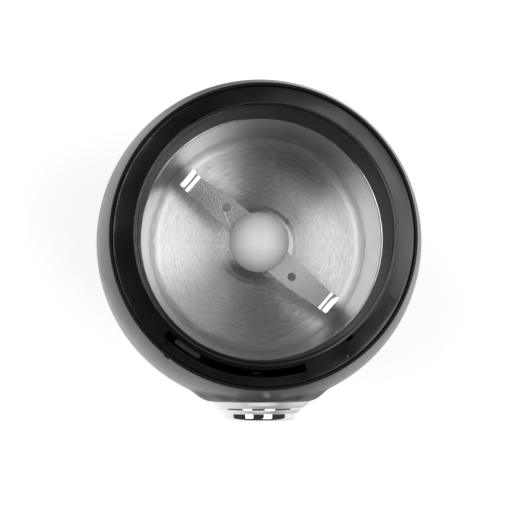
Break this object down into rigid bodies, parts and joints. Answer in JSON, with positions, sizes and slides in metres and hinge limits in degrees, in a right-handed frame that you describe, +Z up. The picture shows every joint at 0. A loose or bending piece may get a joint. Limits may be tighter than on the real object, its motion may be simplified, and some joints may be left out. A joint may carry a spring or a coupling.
{
  "type": "electric spice grinder",
  "caption": "Barrel-shaped blade grinder, lid off, with a steel cup, two-armed blade, chrome side button and bayonet lid seat.",
  "frame": {"origin": "where the drive axis meets the surface that the grinder stands on", "axes": "+Z up along the drive axis; -Y towards the power button; +X to the right as seen from above with the button nearest"},
  "size_m": [0.098, 0.1019, 0.1245],
  "materials": {
    "body_gloss": "high-gloss charcoal moulding",
    "ring_gloss": "gloss black moulding",
    "base_matte": "fine-grained black moulding",
    "foot_rubber": "soft black rubber",
    "seal_rubber": "smooth black rubber",
    "cup_steel": "spun stainless steel, brushed in circles",
    "blade_steel": "satin stainless steel",
    "cap_white": "milky white moulding",
    "chrome_trim": "bright chrome plate",
    "zinc_steel": "zinc-plated steel",
    "spring_steel": "drawn spring wire",
    "carrier_plastic": "black nylon",
    "switch_plastic": "grey moulding",
    "lamination_steel": "stacked steel sheets",
    "copper_winding": "enamelled copper",
    "bronze_bush": "sintered bronze and brass",
    "carbon_block": "pressed carbon"
  },
  "bodies": {
    "housing": {"outer_shell": "body_gloss", "lid_seat_ring": "ring_gloss", "base_plate": "base_matte", "foot_ring": "foot_rubber", "cup_gasket": "seal_rubber", "shaft_seal": "seal_rubber", "cord_inlet": "seal_rubber", "grinding_cup": "cup_steel", "button_bezel": "chrome_trim", "base_screws": "zinc_steel", "carrier_screws": "zinc_steel", "motor_bolts": "zinc_steel", "bezel_clip": "zinc_steel", "button_spring": "spring_steel", "interlock_spring": "spring_steel", "brush_spring_left": "spring_steel", "brush_spring_right": "spring_steel", "motor_carrier": "carrier_plastic", "lower_bracket": "carrier_plastic", "power_switch": "switch_plastic", "terminal_block": "switch_plastic", "capacitor": "switch_plastic", "stator_core": "lamination_steel", "field_coil_front": "copper_winding", "field_coil_rear": "copper_winding", "lower_bearing": "bronze_bush", "upper_bearing": "bronze_bush", "brush_holder_left": "bronze_bush", "brush_holder_right": "bronze_bush", "carbon_brush_left": "carbon_block", "carbon_brush_right": "carbon_block"},
    "button": {"power_button": "chrome_trim"},
    "switch_pin": {"switch_plunger": "switch_plastic"},
    "interlock": {"interlock_plunger": "carrier_plastic"},
    "rotor": {"drive_shaft": "zinc_steel", "rotor_core": "lamination_steel", "rotor_windings": "copper_winding", "commutator": "copper_winding", "thrust_washer": "zinc_steel", "cooling_fan": "switch_plastic", "blade_spacer": "zinc_steel", "blade": "blade_steel", "blade_washer": "blade_steel", "blade_nut": "zinc_steel", "blade_cap": "cap_white"}
  },
  "joints": [
    {"name": "rotor_spin", "type": "hinge", "parent": "housing", "child": "rotor", "pos_m": [0, 0, 0.0103], "axis": [0, 0, 1], "continuous": true},
    {"name": "button_press", "type": "slide", "parent": "housing", "child": "button", "axis": [0, 1, 0], "range_m": [0, 0.0025], "stiffness_N_per_m": 900, "springref_m": -0.002, "deforming": ["button_spring"]},
    {"name": "switch_pin_press", "type": "slide", "parent": "housing", "child": "switch_pin", "axis": [0, 1, 0], "range_m": [0, 0.001]},
    {"name": "interlock_press", "type": "slide", "parent": "housing", "child": "interlock", "axis": [0, 0, -1], "range_m": [0, 0.004], "stiffness_N_per_m": 300, "springref_m": -0.002, "deforming": ["interlock_spring"]}
  ],
  "couplings": [
    {"joint": "switch_pin_press", "follows": "button_press", "ratio": 0.4}
  ]
}
